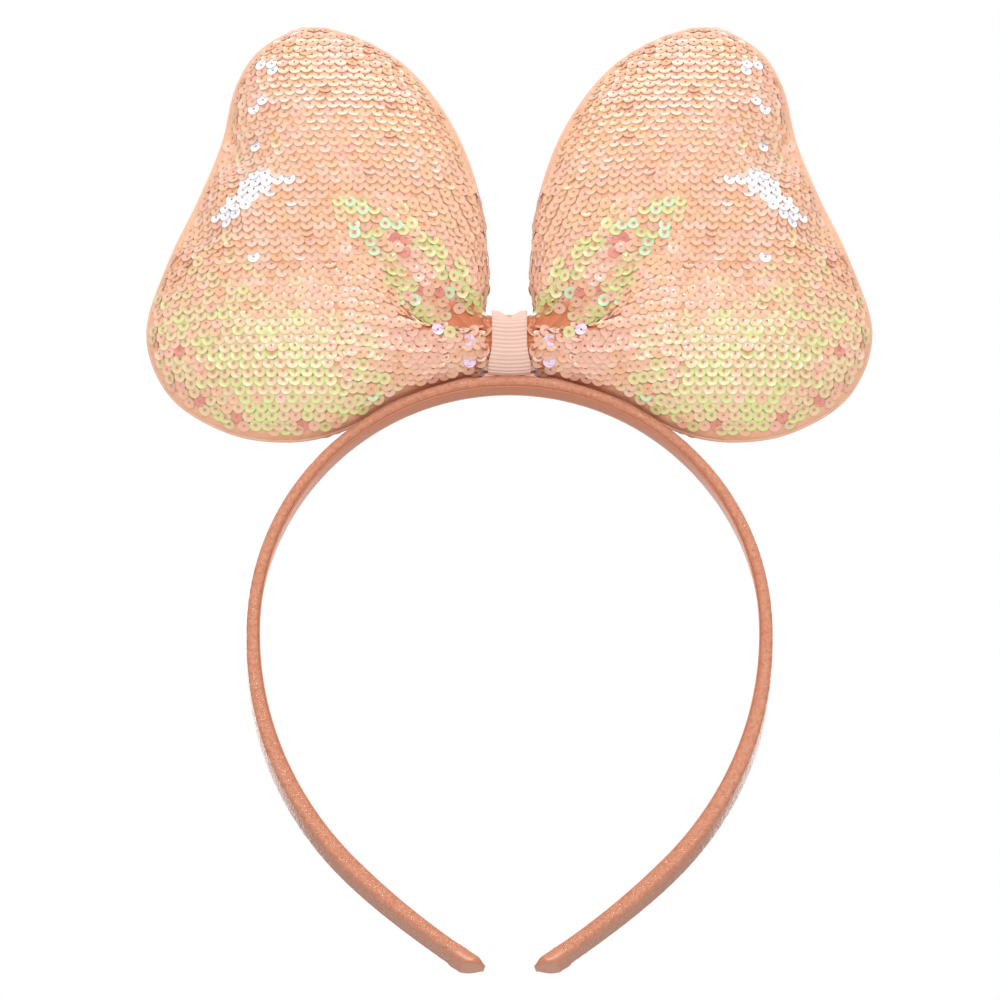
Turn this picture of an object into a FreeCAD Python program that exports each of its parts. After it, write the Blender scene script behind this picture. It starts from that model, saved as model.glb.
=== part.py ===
import FreeCAD, Part
import math
import os
import Sketcher
from FreeCAD import Placement, Rotation, Vector

# Sequin bow headband. Millimetres and degrees. +Z is up, the front faces -Y, and the origin is the
# centre of the hoop's round inner face, level with the wearer's temples.

doc = FreeCAD.newDocument("SequinBowHeadband")

DRIVING = {
    # hoop centreline: a round crown, then two gentler arcs and a short straight run to each tip
    "hoop_radius": 61.7,
    "hinge_angle": 56.0,
    "hinge_gap_angle": 0.15,
    "side_radius": 80.0,
    "side_turn": 45.0,
    "lower_radius": 180.0,
    "lower_turn": 10.0,
    "straight_run": 7.3,
    # hoop layers, from the head outwards
    "lining_thickness": 0.4,
    "satin_thickness": 0.4,
    "core_width": 8.8,
    "core_thickness": 1.6,
    "core_corner": 0.6,
    "cover_width": 10.0,
    "cover_corner": 0.9,
    # folded satin caps on the tips
    "tip_wrap_length": 8.0,
    "tip_wrap_wall": 0.3,
    "tip_overhang": 2.0,
    "tip_pocket_slack": 0.02,
    "tip_pocket_corner": 0.1,
    "tip_blade_width": 6.6,
    "tip_blade_thickness": 1.2,
    # knot in the middle of the bow
    "pad_width": 7.6,
    "pad_thickness": 1.0,
    "pad_half_angle": 5.5,
    "neck_depth": 15.0,
    "neck_height": 14.2,
    "neck_length": 12.0,
    "neck_corner": 5.2,
    "thread_thickness": 0.6,
    "thread_width": 1.6,
    "ribbon_width": 8.6,
    "ribbon_thickness": 0.6,
    # bow lobes
    "lobe_depth": 32.0,
    "lobe_cap_scale": 0.3,
    "panel_thickness": 0.9,
    "seam_width": 1.2,
    "seam_height": 0.8,
    "throat_gap": 3.5,
    "throat_top": 82.0,
}

# Right lobe's seam line, seen from the front: from the knot's top up the inner edge, over the rounded
# top, down past the side dent to the wide lower corner, and back along the hoop to the knot.
LOBE_SEAM_LINE = [
    (6.9, 79.6), (5.3, 90.0), (8.0, 111.0), (15.5, 130.3), (28.6, 146.1), (47.4, 154.2),
    (60.8, 149.3), (67.6, 139.0), (70.9, 124.0), (76.4, 109.5), (83.7, 92.9), (88.6, 74.6),
    (82.5, 59.1), (68.2, 50.0), (53.0, 47.9), (40.0, 51.2), (28.0, 58.6), (15.0, 63.9),
    (7.5, 67.2),
]
LOBE_CENTRE = (38.0, 92.0)
LOBE_SLICES = 9
# A slice is scaled from its farthest corner, so its nearer sides need a larger share to move as far.
INSET_SHARE = 1.6
SEAM_SHARE = 1.3
# Wider than the whole headband, for cutting it in two.
CUTTER_SIZE = 400


def make_sheet():
    """The driving dimensions, one alias to a row."""
    table = doc.addObject("Spreadsheet::Sheet", "Dims")
    for row, (alias, value) in enumerate(DRIVING.items(), start=1):
        table.set(f"A{row}", alias)
        table.set(f"B{row}", str(value))
        table.setAlias(f"B{row}", alias)
    doc.recompute()
    return table


sheet = make_sheet()


def dim(alias):
    """A driving dimension, as a number."""
    return float(sheet.get(alias))


def new_body(name):
    """An empty body for one node."""
    body = doc.addObject("PartDesign::Body", name)
    body.Label = name
    return body


def sketch_on(body, role, name, turn=None):
    """A sketch on the body's own origin plane, moved by the placement `turn` if one is given."""
    plane = next(p for p in body.Origin.OriginFeatures if p.Role == role)
    sketch = body.newObject("Sketcher::SketchObject", name)
    sketch.AttachmentSupport = (plane, [""])
    sketch.MapMode = "FlatFace"
    if turn:
        base = plane.Placement
        sketch.AttachmentOffset = base.inverse() * turn * base
    return sketch


def bind(sketch, kind, arguments, value, name, formula):
    """A named constraint whose value follows a formula in the sheet's cells."""
    index = sketch.addConstraint(Sketcher.Constraint(kind, *arguments, value))
    sketch.renameConstraint(index, name)
    sketch.setExpression(f"Constraints.{name}", formula)


def evaluate(formula):
    """A formula in the sheet's cells, such as 'Dims.core_width / 2', as a number."""
    return float(sheet.evalExpression(formula))


def rounded_rectangle(sketch, prefix, width, low, high, corner):
    """A rounded rectangle, level with the sketch's axes and centred on its vertical axis."""
    half = evaluate(width) / 2
    bottom = evaluate(low)
    top = evaluate(high)
    radius = evaluate(corner)
    normal = Vector(0, 0, 1)
    first = len(sketch.Geometry)
    corners = [
        (half - radius, bottom + radius, -90),
        (half - radius, top - radius, 0),
        (radius - half, top - radius, 90),
        (radius - half, bottom + radius, 180),
    ]
    sides = [
        ((radius - half, bottom), (half - radius, bottom)),
        ((half, bottom + radius), (half, top - radius)),
        ((half - radius, top), (radius - half, top)),
        ((-half, top - radius), (-half, bottom + radius)),
    ]
    for (start, end), (x, y, angle) in zip(sides, corners):
        sketch.addGeometry(Part.LineSegment(Vector(*start, 0), Vector(*end, 0)))
        circle = Part.Circle(Vector(x, y, 0), normal, radius)
        arc = Part.ArcOfCircle(circle, math.radians(angle), math.radians(angle + 90))
        sketch.addGeometry(arc)
    lines = [first + 2 * i for i in range(4)]
    arcs = [line + 1 for line in lines]
    for i in range(4):
        sketch.addConstraint(Sketcher.Constraint("Tangent", lines[i], 2, arcs[i], 1))
        sketch.addConstraint(Sketcher.Constraint("Tangent", arcs[i], 2, lines[(i + 1) % 4], 1))
    sketch.addConstraint(Sketcher.Constraint("Vertical", lines[1]))
    sketch.addConstraint(Sketcher.Constraint("Horizontal", lines[2]))
    sketch.addConstraint(Sketcher.Constraint("Vertical", lines[3]))
    for arc in arcs[1:]:
        sketch.addConstraint(Sketcher.Constraint("Equal", arcs[0], arc))
    sketch.addConstraint(Sketcher.Constraint("Symmetric", lines[0], 1, lines[0], 2, -2))
    bind(sketch, "Radius", (arcs[0],), radius, prefix + "corner", corner)
    bind(sketch, "DistanceX", (lines[3], 1, lines[1], 1), 2 * half, prefix + "width", width)
    bind(sketch, "DistanceY", (-1, 1, lines[0], 1), bottom, prefix + "low", low)
    bind(sketch, "DistanceY", (-1, 1, lines[2], 1), top, prefix + "high", high)


# ---- hoop layers: each section is (width, inner radius, outer radius, corner), as formulas ----

HALF_STACK = "(Dims.lining_thickness + 2 * Dims.satin_thickness + Dims.core_thickness) / 2"
HEAD_FACE = f"Dims.hoop_radius - {HALF_STACK}"
COVER_INNER = f"{HEAD_FACE} + Dims.lining_thickness"
CORE_INNER = f"{COVER_INNER} + Dims.satin_thickness"
CORE_OUTER = f"{CORE_INNER} + Dims.core_thickness"
COVER_OUTER = f"{CORE_OUTER} + Dims.satin_thickness"

CORE = [("Dims.core_width", CORE_INNER, CORE_OUTER, "Dims.core_corner")]
COVER = [("Dims.cover_width", COVER_INNER, COVER_OUTER, "Dims.cover_corner")] + CORE
LINING_WIDTH = "Dims.cover_width - 2 * Dims.cover_corner"
LINING = [(LINING_WIDTH, HEAD_FACE, COVER_INNER, "Dims.lining_thickness / 4")]
LAYERS = {"core": CORE, "satin_cover": COVER, "lining_ribbon": LINING}


def hoop_section(body, name, loops, turn=None):
    """A sketch across the hoop at the top of the head, moved by `turn`, with one outline to a loop."""
    sketch = sketch_on(body, "YZ_Plane", name, turn)
    for number, loop in enumerate(loops):
        rounded_rectangle(sketch, f"loop{number}_", *loop)
    return sketch


def crown_piece(name, loops):
    """A layer's stretch over the top of the head: its section turned about the head's axis."""
    body = new_body(name)
    sketch = hoop_section(body, name + "_section", loops)
    turn = body.newObject("PartDesign::Revolution", name + "_turn")
    turn.Profile = sketch
    turn.ReferenceAxis = (sketch, ["H_Axis"])
    turn.Midplane = True
    turn.setExpression("Angle", "2 * (Dims.hinge_angle - Dims.hinge_gap_angle)")
    return body


def arm_spine(body, name):
    """Centreline of the right arm: crown arc, side arc, lower arc and straight run, all tangent."""
    radius = dim("hoop_radius")
    side = dim("side_radius")
    lower = dim("lower_radius")
    start = math.radians(dim("hinge_angle") + dim("hinge_gap_angle"))
    side_turn = math.radians(dim("side_turn"))
    last_turn = side_turn + math.radians(dim("lower_turn"))
    side_centre = Vector(radius - side, 0, 0)
    side_end = side_centre + Vector(math.cos(side_turn), -math.sin(side_turn), 0) * side
    lower_centre = side_end - Vector(math.cos(side_turn), -math.sin(side_turn), 0) * lower
    lower_end = lower_centre + Vector(math.cos(last_turn), -math.sin(last_turn), 0) * lower
    heading = Vector(-math.sin(last_turn), -math.cos(last_turn), 0)

    sketch = sketch_on(body, "XZ_Plane", name)
    arcs = [
        (Vector(0, 0, 0), radius, 0, math.pi / 2 - start),
        (side_centre, side, -side_turn, 0),
        (lower_centre, lower, -last_turn, -side_turn),
    ]
    for centre, size, low, high in arcs:
        circle = Part.Circle(centre, Vector(0, 0, 1), size)
        sketch.addGeometry(Part.ArcOfCircle(circle, low, high))
    tip = lower_end + heading * dim("straight_run")
    sketch.addGeometry(Part.LineSegment(lower_end, tip))

    sketch.addConstraint(Sketcher.Constraint("Coincident", 0, 3, -1, 1))
    sketch.addConstraint(Sketcher.Constraint("PointOnObject", 0, 1, -1))
    sketch.addConstraint(Sketcher.Constraint("Tangent", 0, 1, 1, 2))
    sketch.addConstraint(Sketcher.Constraint("Tangent", 1, 1, 2, 2))
    sketch.addConstraint(Sketcher.Constraint("Tangent", 2, 1, 3, 1))
    start_x = "Dims.hoop_radius * sin(Dims.hinge_angle + Dims.hinge_gap_angle)"
    side_drop = "Dims.side_radius * sin(Dims.side_turn)"
    lower_drop = (
        "Dims.lower_radius * (sin(Dims.side_turn + Dims.lower_turn) - sin(Dims.side_turn))"
    )
    bind(sketch, "Radius", (0,), radius, "crown_arc", "Dims.hoop_radius")
    bind(sketch, "Radius", (1,), side, "side_arc", "Dims.side_radius")
    bind(sketch, "Radius", (2,), lower, "lower_arc", "Dims.lower_radius")
    bind(sketch, "DistanceX", (-1, 1, 0, 2), radius * math.sin(start), "start_x", start_x)
    bind(sketch, "DistanceY", (1, 1, -1, 1), -side_end.y, "side_drop", side_drop)
    total_drop = f"{side_drop} + {lower_drop}"
    bind(sketch, "DistanceY", (2, 1, -1, 1), -lower_end.y, "total_drop", total_drop)
    bind(sketch, "Distance", (3,), dim("straight_run"), "run", "Dims.straight_run")
    return sketch


def arm_piece(name, loops):
    """A layer's stretch down the right side: its section carried along the arm's centreline."""
    body = new_body(name)
    start = dim("hinge_angle") + dim("hinge_gap_angle")
    turn = Placement(Vector(), Rotation(Vector(0, 1, 0), start))
    profile = hoop_section(body, name + "_section", loops, turn)
    spine = arm_spine(body, name + "_centreline")
    doc.recompute()
    pipe = body.newObject("PartDesign::AdditivePipe", name + "_pipe")
    pipe.Profile = profile
    pipe.Spine = (spine, ["Edge1", "Edge2", "Edge3", "Edge4"])
    pipe.Mode = "Standard"
    return body


def tip_frame(distance):
    """Placement that carries a hoop section to a distance along the right arm's straight run."""
    side_turn = math.radians(dim("side_turn"))
    last_turn = side_turn + math.radians(dim("lower_turn"))
    outward_side = Vector(math.cos(side_turn), 0, -math.sin(side_turn))
    outward = Vector(math.cos(last_turn), 0, -math.sin(last_turn))
    heading = Vector(-math.sin(last_turn), 0, -math.cos(last_turn))
    end = Vector(dim("hoop_radius") - dim("side_radius"), 0, 0)
    end += outward_side * (dim("side_radius") - dim("lower_radius"))
    end += outward * dim("lower_radius")
    origin = end + heading * distance - outward * dim("hoop_radius")
    tilt = 90 + math.degrees(last_turn)
    return Placement(origin, Rotation(Vector(0, 1, 0), tilt))


def tip_wrap(name):
    """The right tip's cap: a flat sleeve that closes to a rounded blade, with a pocket for the band."""
    wall = "Dims.tip_wrap_wall"
    full = (
        f"Dims.cover_width + 2 * {wall}",
        f"{HEAD_FACE} - {wall}",
        f"{COVER_OUTER} + {wall}",
        "Dims.cover_corner",
    )
    blade = (
        "Dims.tip_blade_width",
        "Dims.hoop_radius - Dims.tip_blade_thickness / 2",
        "Dims.hoop_radius + Dims.tip_blade_thickness / 2",
        "Dims.tip_blade_thickness / 3",
    )
    slack = "Dims.tip_pocket_slack"
    cavity = (
        f"Dims.cover_width + 2 * {slack}",
        f"{HEAD_FACE} - {slack}",
        f"{COVER_OUTER} + {slack}",
        "Dims.tip_pocket_corner",
    )
    band_end = dim("straight_run")
    end = band_end + dim("tip_overhang")
    start = end - dim("tip_wrap_length")
    body = new_body(name)
    stations = [(start, full), (band_end, full), (end, blade)]
    sections = []
    for number, (distance, loop) in enumerate(stations):
        place = tip_frame(distance)
        sections.append(hoop_section(body, f"{name}_section{number}", [loop], place))
    doc.recompute()
    loft = body.newObject("PartDesign::AdditiveLoft", name + "_loft")
    loft.Profile = sections[0]
    loft.Sections = sections[1:]
    loft.Ruled = True
    doc.recompute()
    mouth = hoop_section(body, name + "_mouth", [cavity], tip_frame(start))
    doc.recompute()
    pocket = body.newObject("PartDesign::Pocket", name + "_pocket")
    pocket.Profile = mouth
    pocket.Reversed = True
    pocket.setExpression("Length", "Dims.tip_wrap_length - Dims.tip_overhang")
    return body


# ---- knot ----

PAD_TOP = f"{COVER_OUTER} + Dims.pad_thickness"
RIBBON_BOTTOM = PAD_TOP
NECK_BOTTOM = f"{RIBBON_BOTTOM} + Dims.ribbon_thickness"
NECK_TOP = f"{NECK_BOTTOM} + Dims.neck_height"
RIBBON_TOP = f"{NECK_TOP} + Dims.ribbon_thickness"
NECK_LOOP = ("Dims.neck_depth", NECK_BOTTOM, NECK_TOP, "Dims.neck_corner")
RIBBON_LOOP = (
    "Dims.neck_depth + 2 * Dims.ribbon_thickness",
    RIBBON_BOTTOM,
    RIBBON_TOP,
    "Dims.neck_corner + Dims.ribbon_thickness",
)
WAIST_LOOP = (
    "Dims.neck_depth - 2 * Dims.thread_thickness",
    f"{NECK_BOTTOM} + Dims.thread_thickness",
    f"{NECK_TOP} - Dims.thread_thickness",
    "Dims.neck_corner - Dims.thread_thickness",
)


def glue_pad(name):
    """A hot-melt pad that follows the top of the hoop."""
    body = new_body(name)
    loop = ("Dims.pad_width", COVER_OUTER, PAD_TOP, "Dims.pad_thickness / 4")
    sketch = hoop_section(body, name + "_section", [loop])
    turn = body.newObject("PartDesign::Revolution", name + "_turn")
    turn.Profile = sketch
    turn.ReferenceAxis = (sketch, ["H_Axis"])
    turn.Midplane = True
    turn.setExpression("Angle", "2 * Dims.pad_half_angle")
    return body


def knot_piece(name, loops, length):
    """A closed loop of one section, centred across the hoop and padded both ways along X."""
    body = new_body(name)
    sketch = hoop_section(body, name + "_section", loops)
    pad = body.newObject("PartDesign::Pad", name + "_pad")
    pad.Profile = sketch
    pad.Midplane = True
    pad.setExpression("Length", length)
    return body


def gathered_neck(name):
    """The bunched fabric in the bow's middle, with a waist where the thread pulls it in."""
    body = knot_piece(name, [NECK_LOOP], "Dims.neck_length")
    doc.recompute()
    sketch = hoop_section(body, name + "_waist", [NECK_LOOP, WAIST_LOOP])
    doc.recompute()
    groove = body.newObject("PartDesign::Pocket", name + "_groove")
    groove.Profile = sketch
    groove.Midplane = True
    groove.setExpression("Length", "Dims.thread_width")
    return body


# ---- lobes ----


def lobe_wire(scale, y):
    """The right lobe's seam line, scaled about the lobe's centre, at a depth y."""
    cx, cz = LOBE_CENTRE
    points = [Vector(cx + (x - cx) * scale, y, cz + (z - cz) * scale) for x, z in LOBE_SEAM_LINE]
    curve = Part.BSplineCurve()
    curve.interpolate(Points=points, PeriodicFlag=True)
    return Part.Wire([curve.toShape()])


def lobe_solid(inset):
    """The padded lobe, `inset` inside its outer face: slices of the seam line, small at the faces."""
    cx, cz = LOBE_CENTRE
    reach = max(math.hypot(x - cx, z - cz) for x, z in LOBE_SEAM_LINE)
    depth = dim("lobe_depth") / 2 - inset
    cap = dim("lobe_cap_scale")
    wires = []
    for slice_number in range(LOBE_SLICES):
        lean = math.pi / 2 * (2 * slice_number / (LOBE_SLICES - 1) - 1)
        scale = (cap + (1 - cap) * math.cos(lean)) * (1 - INSET_SHARE * inset / reach)
        wires.append(lobe_wire(scale, depth * math.sin(lean)))
    return Part.makeLoft(wires, True, False)


def half_space(sign):
    """Everything in front of the seam's plane (sign -1) or behind it (+1)."""
    size = CUTTER_SIZE
    low = -size if sign < 0 else 0
    return Part.makeBox(size, size, size, Vector(-size / 2, low, -size / 2))


def lobe_seam():
    """The stitched edge round the lobe, left open where the gathers run into the knot."""
    cx, cz = LOBE_CENTRE
    reach = max(math.hypot(x - cx, z - cz) for x, z in LOBE_SEAM_LINE)
    width = dim("seam_width")
    grown = 1 + SEAM_SHARE * dim("seam_height") / reach
    outer = Part.Face(lobe_wire(grown, -width / 2))
    inner = Part.Face(lobe_wire(1, -width / 2))
    rim = outer.cut(inner).extrude(Vector(0, width, 0))
    depth = dim("lobe_depth")
    throat_end = dim("ribbon_width") / 2 + dim("throat_gap")
    throat = Part.makeBox(throat_end, depth, dim("throat_top"), Vector(0, -depth / 2, 0))
    return rim.cut(throat)


def part_feature(name, shape):
    """A node whose shape Part's functions give."""
    feature = doc.addObject("Part::Feature", name)
    feature.Shape = shape.Solids[0] if len(shape.Solids) == 1 else shape
    feature.Label = name
    feature.Placement = Placement()
    return feature


def right_lobe():
    """The four pieces of the right lobe."""
    outer = lobe_solid(0)
    inner = lobe_solid(dim("panel_thickness"))
    shell = outer.cut(inner)
    return {
        "lobe_front_panel": part_feature("right_lobe_front_panel", shell.common(half_space(-1))),
        "lobe_back_panel": part_feature("right_lobe_back_panel", shell.common(half_space(1))),
        "lobe_filling": part_feature("right_lobe_filling", inner),
        "lobe_seam": part_feature("right_lobe_seam", lobe_seam()),
    }


def mirrored(name, source):
    """The left-hand twin of a right-hand piece."""
    twin = doc.addObject("Part::Mirroring", name)
    twin.Label = name
    twin.Source = source
    twin.Normal = Vector(1, 0, 0)
    return twin


def build():
    """Every sub-part of the headband, in the order that it is put together."""
    made = []
    right = {}
    for layer, loops in LAYERS.items():
        made.append(crown_piece(f"crown_{layer}", loops))
        right[f"arm_{layer}"] = arm_piece(f"right_arm_{layer}", loops)
    right["tip_wrap"] = tip_wrap("right_tip_wrap")
    made.append(glue_pad("glue_pad"))
    made.append(gathered_neck("gathered_neck"))
    made.append(knot_piece("gathering_thread", [NECK_LOOP, WAIST_LOOP], "Dims.thread_width"))
    made.append(knot_piece("knot_ribbon", [RIBBON_LOOP, NECK_LOOP], "Dims.ribbon_width"))
    right.update(right_lobe())
    doc.recompute()
    made += right.values()
    made += [mirrored(f"left_{name}", source) for name, source in right.items()]
    doc.recompute()
    return made


def check(pieces):
    """Stop if any object failed or any sub-part has no sound solid."""
    failed = [o.Name for o in doc.Objects if {"Invalid", "Error"} & set(o.State)]
    if failed:
        raise RuntimeError(f"failed objects: {failed}")
    for piece in pieces:
        shape = piece.Shape
        if shape.isNull() or not shape.isValid() or not shape.Solids:
            raise RuntimeError(f"{piece.Label} has no valid solid")


pieces = build()
check(pieces)
os.makedirs("parts", exist_ok=True)
for piece in pieces:
    piece.Shape.exportStep(f"parts/{piece.Label}.step")
    box = piece.Shape.BoundBox
    print(f"{piece.Label:26s} {piece.Shape.Volume:10.1f} mm3, z {box.ZMin:7.2f} to {box.ZMax:7.2f}")
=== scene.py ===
import math

import bpy
import numpy as np
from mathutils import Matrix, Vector
from mathutils.bvhtree import BVHTree


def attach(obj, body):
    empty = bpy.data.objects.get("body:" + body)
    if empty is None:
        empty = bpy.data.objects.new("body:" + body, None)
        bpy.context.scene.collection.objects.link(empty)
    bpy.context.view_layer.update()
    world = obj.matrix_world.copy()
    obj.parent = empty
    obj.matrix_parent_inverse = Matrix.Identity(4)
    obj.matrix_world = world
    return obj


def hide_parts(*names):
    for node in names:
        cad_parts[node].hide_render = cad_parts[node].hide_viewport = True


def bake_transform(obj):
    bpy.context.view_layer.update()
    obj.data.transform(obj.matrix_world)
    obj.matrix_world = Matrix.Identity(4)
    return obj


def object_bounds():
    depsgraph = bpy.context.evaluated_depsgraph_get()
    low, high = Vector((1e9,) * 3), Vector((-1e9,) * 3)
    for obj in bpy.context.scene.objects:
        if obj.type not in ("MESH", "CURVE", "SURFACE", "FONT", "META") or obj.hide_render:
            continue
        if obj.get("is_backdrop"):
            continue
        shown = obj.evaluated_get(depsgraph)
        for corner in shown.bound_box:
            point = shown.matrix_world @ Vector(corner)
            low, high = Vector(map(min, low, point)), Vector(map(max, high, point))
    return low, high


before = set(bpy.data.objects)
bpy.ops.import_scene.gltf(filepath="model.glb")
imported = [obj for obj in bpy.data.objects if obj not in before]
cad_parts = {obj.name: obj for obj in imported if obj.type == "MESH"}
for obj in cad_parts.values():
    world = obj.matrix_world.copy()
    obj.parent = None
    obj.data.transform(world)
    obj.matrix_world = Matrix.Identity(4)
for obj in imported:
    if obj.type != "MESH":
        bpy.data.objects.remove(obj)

cad_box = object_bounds()

MM = 0.001
SEED = 711

# Hoop centreline, as in the CAD: crown arc, side arc, lower arc, straight run (millimetres, degrees)
CROWN_RADIUS = 61.7
SIDE_RADIUS, SIDE_TURN = 80.0, 45.0
LOWER_RADIUS, LOWER_TURN = 180.0, 10.0
STRAIGHT_RUN = 7.3
TIP_OVERHANG = 2.0
CAP_COVERS = 6.0
BAND_SHORT_OF_TIP, CORE_SHORT_OF_TIP = 2.6, 2.7
HINGE_ANGLE = 56.0

# Right lobe's seam line (x, z), from the knot's top round to the knot's bottom
SEAM_LINE = [
    (6.9, 79.6), (5.3, 90.0), (8.0, 111.0), (15.5, 130.3), (28.6, 146.1), (47.4, 154.2),
    (60.8, 149.3), (67.6, 139.0), (70.9, 124.0), (76.4, 109.5), (83.7, 92.9), (88.6, 74.6),
    (82.5, 59.1), (68.2, 50.0), (53.0, 47.9), (40.0, 50.9), (28.0, 57.8), (15.0, 62.4),
    (7.5, 64.3),
]
LOBE_CENTRE = np.array([38.0, 92.0])
THROAT_X, THROAT_LOW, THROAT_HIGH = 3.4, 65.0, 79.0
THROAT_DEPTH = 6.4
LOBE_HALF_DEPTH = 14.6
SEAM_STARTS_AT_X, SEAM_GAP, SEAM_RADIUS = 6.2, 5.0, 0.55
KNOT = np.array([3.4, 73.2])


# ---------------------------------------------------------------- helpers

def linear(rgb):
    """An sRGB colour out of 255 as a linear RGBA."""
    c = np.array(rgb, float) / 255
    low = c / 12.92
    high = ((c + 0.055) / 1.055) ** 2.4
    return (*np.where(c <= 0.04045, low, high), 1.0)


def material(name, rgb, roughness, **sockets):
    """A Principled material of one colour. Further sockets are given by name."""
    mat = bpy.data.materials.new(name)
    mat.use_nodes = True
    shader = mat.node_tree.nodes["Principled BSDF"]
    shader.inputs["Base Color"].default_value = linear(rgb)
    shader.inputs["Roughness"].default_value = roughness
    for socket, value in sockets.items():
        shader.inputs[socket.replace("_", " ")].default_value = value
    mat.diffuse_color = linear(rgb)
    return mat


def new_node(mat, kind, inputs=None, **attributes):
    """A new node of the material, with its attributes and then its input values set."""
    node = mat.node_tree.nodes.new(kind)
    for name, value in attributes.items():
        setattr(node, name, value)
    for socket, value in (inputs or {}).items():
        node.inputs[socket].default_value = value
    return node


def grain(mat, scale, strength, distance, stretch=(1, 1, 1), light=None, dark=None):
    """Adds a fine noise bump, and a gentle colour change between two shades if they are given."""
    links = mat.node_tree.links
    shader = mat.node_tree.nodes["Principled BSDF"]
    place = new_node(mat, "ShaderNodeTexCoord")
    mapping = new_node(mat, "ShaderNodeMapping", {"Scale": stretch})
    noise = new_node(mat, "ShaderNodeTexNoise", {"Scale": scale, "Detail": 3})
    bump = new_node(mat, "ShaderNodeBump", {"Strength": strength, "Distance": distance})
    links.new(place.outputs["Object"], mapping.inputs["Vector"])
    links.new(mapping.outputs["Vector"], noise.inputs["Vector"])
    links.new(noise.outputs["Fac"], bump.inputs["Height"])
    links.new(bump.outputs["Normal"], shader.inputs["Normal"])
    if light:
        ramp = new_node(mat, "ShaderNodeValToRGB")
        for element, position, rgb in zip(ramp.color_ramp.elements, (0.3, 0.7), (dark, light)):
            element.position = position
            element.color = linear(rgb)
        links.new(noise.outputs["Fac"], ramp.inputs["Fac"])
        links.new(ramp.outputs["Color"], shader.inputs["Base Color"])


def mesh_piece(name, verts, faces, mats, face_mats=None, caps=0):
    """A smooth mesh object from millimetre vertices. Its last faces, the caps, are flat."""
    mesh = bpy.data.meshes.new(name)
    mesh.from_pydata((np.asarray(verts) * MM).tolist(), [], faces)
    for mat in mats:
        mesh.materials.append(mat)
    if face_mats is not None:
        mesh.polygons.foreach_set("material_index", np.asarray(face_mats, np.int32))
    smooth = [True] * (len(faces) - caps) + [False] * caps
    mesh.polygons.foreach_set("use_smooth", smooth)
    mesh.validate()
    mesh.update()
    piece = bpy.data.objects.new(name, mesh)
    bpy.context.scene.collection.objects.link(piece)
    return piece


def mirror_faces(faces):
    """The same faces, turned to look the other way."""
    return [tuple(reversed(face)) for face in faces]


def sided(side, verts, faces):
    """Right-hand geometry as it is, or mirrored to the left."""
    if side == "right":
        return verts, faces
    return verts * np.array([-1.0, 1.0, 1.0]), mirror_faces(faces)


def smoothstep(low, high, value):
    """0 below low, 1 above high, and a smooth rise between them."""
    t = np.clip((np.asarray(value, float) - low) / (high - low), 0, 1)
    return t * t * (3 - 2 * t)


class Ripple:
    """A smooth, repeatable wander along a length: a few sine waves with seeded phases."""

    def __init__(self, seed, longest, shortest, count=7):
        rng = np.random.default_rng(SEED + seed)
        self.lengths = np.geomspace(longest, shortest, count) * rng.uniform(0.85, 1.15, count)
        self.phases = rng.uniform(0, 2 * math.pi, count)
        self.weights = rng.uniform(0.5, 1.0, count)
        self.weights /= self.weights.sum()

    def __call__(self, s):
        s = np.asarray(s, float)[..., None]
        waves = np.sin(2 * math.pi * s / self.lengths + self.phases)
        return (waves * self.weights).sum(-1) * 2


# ---------------------------------------------------------------- hoop

def hoop_length():
    """Length of the right half's centreline, from the top to the end of the plastic."""
    turns = math.radians(90) * CROWN_RADIUS + math.radians(SIDE_TURN) * SIDE_RADIUS
    return turns + math.radians(LOWER_TURN) * LOWER_RADIUS + STRAIGHT_RUN


def hoop_point(s):
    """Point (x, z) and outward normal (x, z) on the right half's centreline, s from the top."""
    crown = math.radians(90) * CROWN_RADIUS
    side = math.radians(SIDE_TURN) * SIDE_RADIUS
    lower = math.radians(LOWER_TURN) * LOWER_RADIUS
    if s <= crown:
        angle = s / CROWN_RADIUS
        normal = np.array([math.sin(angle), math.cos(angle)])
        return normal * CROWN_RADIUS, normal
    side_centre = np.array([CROWN_RADIUS - SIDE_RADIUS, 0.0])
    angle = min((s - crown) / SIDE_RADIUS, math.radians(SIDE_TURN))
    normal = np.array([math.cos(angle), -math.sin(angle)])
    if s <= crown + side:
        return side_centre + normal * SIDE_RADIUS, normal
    lower_centre = side_centre + normal * (SIDE_RADIUS - LOWER_RADIUS)
    angle += min((s - crown - side) / LOWER_RADIUS, math.radians(LOWER_TURN))
    normal = np.array([math.cos(angle), -math.sin(angle)])
    point = lower_centre + normal * LOWER_RADIUS
    if s <= crown + side + lower:
        return point, normal
    heading = np.array([-math.sin(angle), -math.cos(angle)])
    return point + heading * (s - crown - side - lower), normal


def rounded_section(half_width, low, high, corner, per_corner=5, per_side=6):
    """A rounded rectangle (y, h) with evenly spread points, counter-clockwise seen along the hoop."""
    pts = []
    corner = min(corner, (high - low) / 2 - 0.01)
    centres = [
        (half_width - corner, high - corner, 0),
        (corner - half_width, high - corner, 90),
        (corner - half_width, low + corner, 180),
        (half_width - corner, low + corner, 270),
    ]
    for number, (y, h, start) in enumerate(centres):
        for i in range(per_corner + 1):
            a = math.radians(start + 90 * i / per_corner)
            pts.append((y + corner * math.cos(a), h + corner * math.sin(a)))
        ny, nh, nstart = centres[(number + 1) % 4]
        a = math.radians(nstart)
        end = (ny + corner * math.cos(a), nh + corner * math.sin(a))
        begin = pts[-1]
        count = per_side if number % 2 == 0 else 1
        for i in range(1, count):
            f = i / count
            pts.append(((1 - f) * begin[0] + f * end[0], (1 - f) * begin[1] + f * end[1]))
    return np.array(pts)


def twist(s):
    """The band's turn about its own centreline: the arms face a little forwards."""
    return math.radians(6.0 * smoothstep(45, 100, s) + 3.5 * smoothstep(105, 150, s))


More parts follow.
